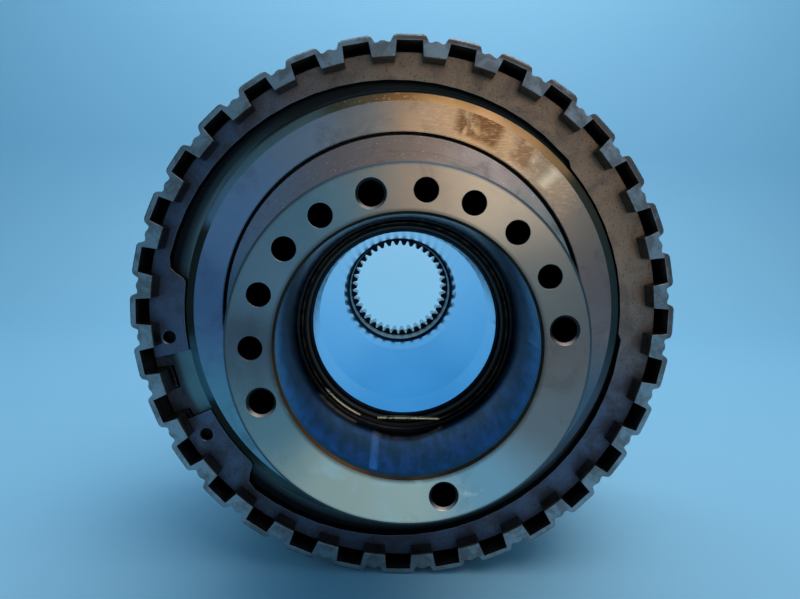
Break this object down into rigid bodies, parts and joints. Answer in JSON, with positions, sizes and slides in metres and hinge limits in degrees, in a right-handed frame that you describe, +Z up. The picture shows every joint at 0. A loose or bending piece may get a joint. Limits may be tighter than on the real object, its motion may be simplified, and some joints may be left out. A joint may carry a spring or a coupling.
{
  "type": "planetary gear set with clutch drum",
  "caption": "Lobed clutch drum with a planetary gear set inside it, built around a hollow flanged hub with an internal spline.",
  "frame": {"origin": "on the axis of rotation, at the shoulder where the nose bore ends", "axes": "Y is the axis of rotation: -Y points out of the nose and +Y out of the splined tail. +Z is up, with the set lying on its drum; +X completes a right-handed frame"},
  "size_m": [0.2498, 0.2485, 0.2498],
  "materials": {
    "drum_steel": "carburised and phosphated steel, worn bright on the lobes and tooth ends",
    "snap_ring_steel": "dark brown phosphated spring steel, oily",
    "plate_steel": "ground steel with brown oil stains",
    "clutch_plate_steel": "plain steel, tumbled",
    "disc_steel": "blanked steel",
    "friction_lining": "brown paper friction lining with oil grooves",
    "housing_iron": "machined cast iron",
    "piston_aluminium": "machined aluminium",
    "pressed_steel": "pressed steel",
    "spring_steel": "blued spring steel",
    "seal_rubber": "black nitrile rubber",
    "lip_seal_rubber": "dark brown fluorocarbon rubber, oily",
    "wire_steel": "bright spring wire with a film of brown oil",
    "hub_steel": "fine turned steel with brown oil film and wear",
    "clutch_hub_steel": "turned steel, brown oil film",
    "gear_steel": "case-hardened and ground gear steel",
    "carrier_steel": "machined steel",
    "bolt_steel": "black oxide",
    "pin_steel": "hardened and ground steel",
    "roller_steel": "polished bearing steel",
    "sealing_iron": "fine cast iron",
    "bronze": "tin bronze"
  },
  "bodies": {
    "drum": {"clutch_drum": "drum_steel", "front_snap_ring": "snap_ring_steel", "reaction_plate": "plate_steel", "piston_housing": "housing_iron", "housing_bushings": "bronze", "housing_snap_ring": "snap_ring_steel", "ring_gear_front_snap_ring": "snap_ring_steel", "ring_gear_rear_snap_ring": "snap_ring_steel", "ring_gear": "gear_steel", "spring_retainer": "pressed_steel", "retainer_snap_ring": "snap_ring_steel", "return_disc_springs": "spring_steel"},
    "hub": {"hub_shaft": "hub_steel", "nose_seal": "lip_seal_rubber", "seal_wire_ring": "wire_steel", "clutch_hub": "clutch_hub_steel", "hub_thrust_washer": "bronze", "sealing_rings": "sealing_iron", "sun_gear": "gear_steel"},
    "carrier": {"front_carrier_plate": "carrier_steel", "rear_carrier_plate": "carrier_steel", "carrier_bolts": "bolt_steel", "carrier_bushing": "bronze", "planet_pins": "pin_steel", "planet_thrust_washers": "bronze"},
    "piston": {"piston": "piston_aluminium", "piston_outer_seal": "seal_rubber", "piston_inner_seal": "seal_rubber"},
    "planet_1": {"planet_gear_1": "gear_steel", "needle_rollers_1": "roller_steel"},
    "planet_2": {"planet_gear_2": "gear_steel", "needle_rollers_2": "roller_steel"},
    "planet_3": {"planet_gear_3": "gear_steel", "needle_rollers_3": "roller_steel"},
    "planet_4": {"planet_gear_4": "gear_steel", "needle_rollers_4": "roller_steel"},
    "planet_5": {"planet_gear_5": "gear_steel", "needle_rollers_5": "roller_steel"},
    "friction_disc_1": {"friction_disc_1": "disc_steel", "friction_lining_1": "friction_lining"},
    "steel_plate_1": {"steel_plate_1": "clutch_plate_steel"},
    "friction_disc_2": {"friction_disc_2": "disc_steel", "friction_lining_2": "friction_lining"},
    "steel_plate_2": {"steel_plate_2": "clutch_plate_steel"},
    "friction_disc_3": {"friction_disc_3": "disc_steel", "friction_lining_3": "friction_lining"},
    "steel_plate_3": {"steel_plate_3": "clutch_plate_steel"},
    "friction_disc_4": {"friction_disc_4": "disc_steel", "friction_lining_4": "friction_lining"},
    "steel_plate_4": {"steel_plate_4": "clutch_plate_steel"}
  },
  "joints": [
    {"name": "hub_spin", "type": "hinge", "parent": "drum", "child": "hub", "pos_m": [0, 0, 0], "axis": [0, 1, 0], "continuous": true},
    {"name": "carrier_spin", "type": "hinge", "parent": "drum", "child": "carrier", "pos_m": [0, 0.135, 0], "axis": [0, 1, 0], "continuous": true},
    {"name": "planet_1_spin", "type": "hinge", "parent": "carrier", "child": "planet_1", "pos_m": [0, 0.135, 0.075], "axis": [0, 1, 0], "continuous": true},
    {"name": "planet_2_spin", "type": "hinge", "parent": "carrier", "child": "planet_2", "pos_m": [-0.07133, 0.135, 0.02318], "axis": [0, 1, 0], "continuous": true},
    {"name": "planet_3_spin", "type": "hinge", "parent": "carrier", "child": "planet_3", "pos_m": [-0.04408, 0.135, -0.06068], "axis": [0, 1, 0], "continuous": true},
    {"name": "planet_4_spin", "type": "hinge", "parent": "carrier", "child": "planet_4", "pos_m": [0.04408, 0.135, -0.06068], "axis": [0, 1, 0], "continuous": true},
    {"name": "planet_5_spin", "type": "hinge", "parent": "carrier", "child": "planet_5", "pos_m": [0.07133, 0.135, 0.02318], "axis": [0, 1, 0], "continuous": true},
    {"name": "piston_slide", "type": "slide", "parent": "drum", "child": "piston", "axis": [0, -1, 0], "range_m": [0, 0.00252], "stiffness_N_per_m": 60000, "springref_m": -0.003, "deforming": ["return_disc_springs"]},
    {"name": "friction_disc_1_slide", "type": "slide", "parent": "hub", "child": "friction_disc_1", "axis": [0, -1, 0], "range_m": [0, 0.0003]},
    {"name": "steel_plate_1_slide", "type": "slide", "parent": "drum", "child": "steel_plate_1", "axis": [0, -1, 0], "range_m": [0, 0.00058]},
    {"name": "friction_disc_2_slide", "type": "slide", "parent": "hub", "child": "friction_disc_2", "axis": [0, -1, 0], "range_m": [0, 0.00086]},
    {"name": "steel_plate_2_slide", "type": "slide", "parent": "drum", "child": "steel_plate_2", "axis": [0, -1, 0], "range_m": [0, 0.00114]},
    {"name": "friction_disc_3_slide", "type": "slide", "parent": "hub", "child": "friction_disc_3", "axis": [0, -1, 0], "range_m": [0, 0.00142]},
    {"name": "steel_plate_3_slide", "type": "slide", "parent": "drum", "child": "steel_plate_3", "axis": [0, -1, 0], "range_m": [0, 0.0017]},
    {"name": "friction_disc_4_slide", "type": "slide", "parent": "hub", "child": "friction_disc_4", "axis": [0, -1, 0], "range_m": [0, 0.00198]},
    {"name": "steel_plate_4_slide", "type": "slide", "parent": "drum", "child": "steel_plate_4", "axis": [0, -1, 0], "range_m": [0, 0.00226]}
  ],
  "couplings": [
    {"joint": "carrier_spin", "follows": "hub_spin", "ratio": 0.33333},
    {"joint": "planet_1_spin", "follows": "hub_spin", "ratio": -1.3333},
    {"joint": "planet_2_spin", "follows": "hub_spin", "ratio": -1.3333},
    {"joint": "planet_3_spin", "follows": "hub_spin", "ratio": -1.3333},
    {"joint": "planet_4_spin", "follows": "hub_spin", "ratio": -1.3333},
    {"joint": "planet_5_spin", "follows": "hub_spin", "ratio": -1.3333},
    {"joint": "friction_disc_1_slide", "follows": "piston_slide", "ratio": 0.11111},
    {"joint": "steel_plate_1_slide", "follows": "piston_slide", "ratio": 0.22222},
    {"joint": "friction_disc_2_slide", "follows": "piston_slide", "ratio": 0.33333},
    {"joint": "steel_plate_2_slide", "follows": "piston_slide", "ratio": 0.44444},
    {"joint": "friction_disc_3_slide", "follows": "piston_slide", "ratio": 0.55556},
    {"joint": "steel_plate_3_slide", "follows": "piston_slide", "ratio": 0.66667},
    {"joint": "friction_disc_4_slide", "follows": "piston_slide", "ratio": 0.77778},
    {"joint": "steel_plate_4_slide", "follows": "piston_slide", "ratio": 0.88889}
  ]
}
